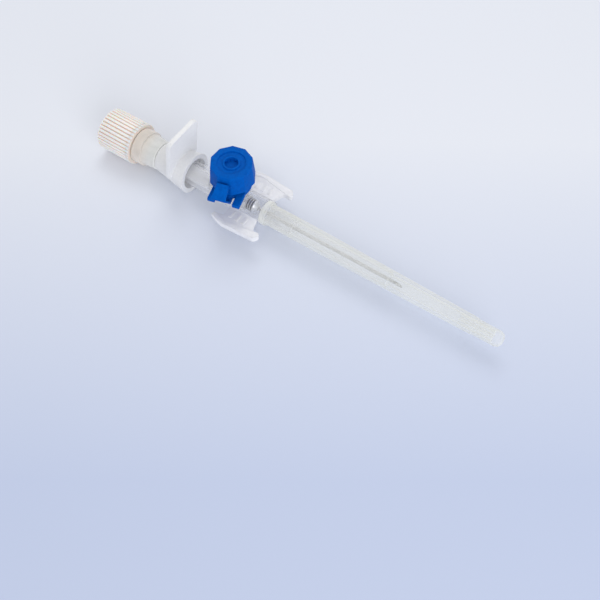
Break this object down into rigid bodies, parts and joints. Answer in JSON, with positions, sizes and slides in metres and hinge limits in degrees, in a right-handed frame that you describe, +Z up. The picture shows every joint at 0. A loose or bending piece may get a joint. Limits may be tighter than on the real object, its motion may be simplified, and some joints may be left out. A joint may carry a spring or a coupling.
{
  "type": "iv cannula",
  "caption": "Winged peripheral intravenous cannula with a capped blue injection port, steel needle with thumb plate, flash chamber, ribbed luer lock plug and translucent needle cover",
  "frame": {"origin": "centre of the part's length and width, at the level of the lowest point, under the rear plug", "axes": "+X along the cannula towards the needle's point, +Z up through the injection port, +Y across the wings"},
  "size_m": [0.1098, 0.0179, 0.0189],
  "materials": {
    "plug_white": "moulded, satin",
    "filter_white": "sintered, porous",
    "chamber_clear": "clear, polished",
    "grip_frosted": "translucent, lightly frosted",
    "needle_steel": "drawn and ground",
    "hub_clear": "clear, polished",
    "sleeve_silicone": "translucent, soft",
    "eyelet_metal": "pressed",
    "catheter_white": "smooth, slippery",
    "port_blue": "moulded, semi-gloss",
    "cover_translucent": "translucent, faintly milky"
  },
  "bodies": {
    "hub_unit": {"catheter_hub": "hub_clear", "valve_sleeve": "sleeve_silicone", "eyelet": "eyelet_metal", "catheter_tube": "catheter_white", "port_collar": "port_blue"},
    "needle_unit": {"needle_hub": "grip_frosted", "flash_chamber": "chamber_clear", "needle": "needle_steel"},
    "plug_unit": {"vent_plug": "plug_white", "vent_filter": "filter_white"},
    "cap_unit": {"port_cap": "port_blue"},
    "cover_unit": {"needle_cover": "cover_translucent"}
  },
  "joints": [
    {"name": "cover_slide", "type": "slide", "parent": "hub_unit", "child": "cover_unit", "axis": [1, 0, 0], "range_m": [0, 0.045]},
    {"name": "needle_slide", "type": "slide", "parent": "hub_unit", "child": "needle_unit", "axis": [-1, 0, 0], "range_m": [0, 0.065]},
    {"name": "plug_slide", "type": "slide", "parent": "needle_unit", "child": "plug_unit", "axis": [-1, 0, 0], "range_m": [0, 0.012]},
    {"name": "cap_hinge", "type": "hinge", "parent": "hub_unit", "child": "cap_unit", "pos_m": [-0.01487, -0.0057, 0.0102], "axis": [0.9659, 0.2588, 0], "range_deg": [0, 100]}
  ]
}
